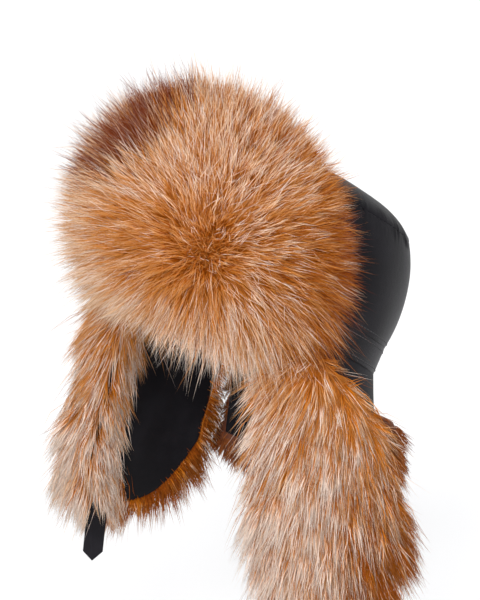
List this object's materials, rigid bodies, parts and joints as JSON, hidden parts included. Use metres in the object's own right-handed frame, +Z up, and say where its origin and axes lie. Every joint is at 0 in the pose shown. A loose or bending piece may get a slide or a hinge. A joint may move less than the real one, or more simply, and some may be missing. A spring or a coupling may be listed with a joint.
{
  "type": "ushanka",
  "caption": "Ushanka with a soft leather crown, a turned-up fox fur visor, hanging fur ear flaps, a fur-edged nape flap and flat leather ties.",
  "frame": {"origin": "middle of the head opening at the lower edge of the crown's band, which leans back 25 degrees", "axes": "+Z up as worn, -Y the way the wearer looks, +X the wearer's left"},
  "size_m": [0.284, 0.2935, 0.4339],
  "materials": {
    "crown_leather": "smooth satin black leather",
    "flap_leather": "matt black leather",
    "tie_leather": "flat black leather strap",
    "fox_fur": "long red fox fur, orange at the root and cream at the tip",
    "chestnut_fur": "short dense chestnut fur"
  },
  "bodies": {
    "root": {"crown_band": "crown_leather", "crown_side": "crown_leather", "crown_top": "crown_leather", "visor": "flap_leather", "visor_fur": "fox_fur", "ear_flap_left": "flap_leather", "ear_flap_right": "flap_leather", "ear_fur_left": "fox_fur", "ear_fur_right": "fox_fur", "nape_flap": "flap_leather", "nape_fur": "chestnut_fur", "tie_left": "tie_leather", "tie_right": "tie_leather"}
  },
  "joints": []
}
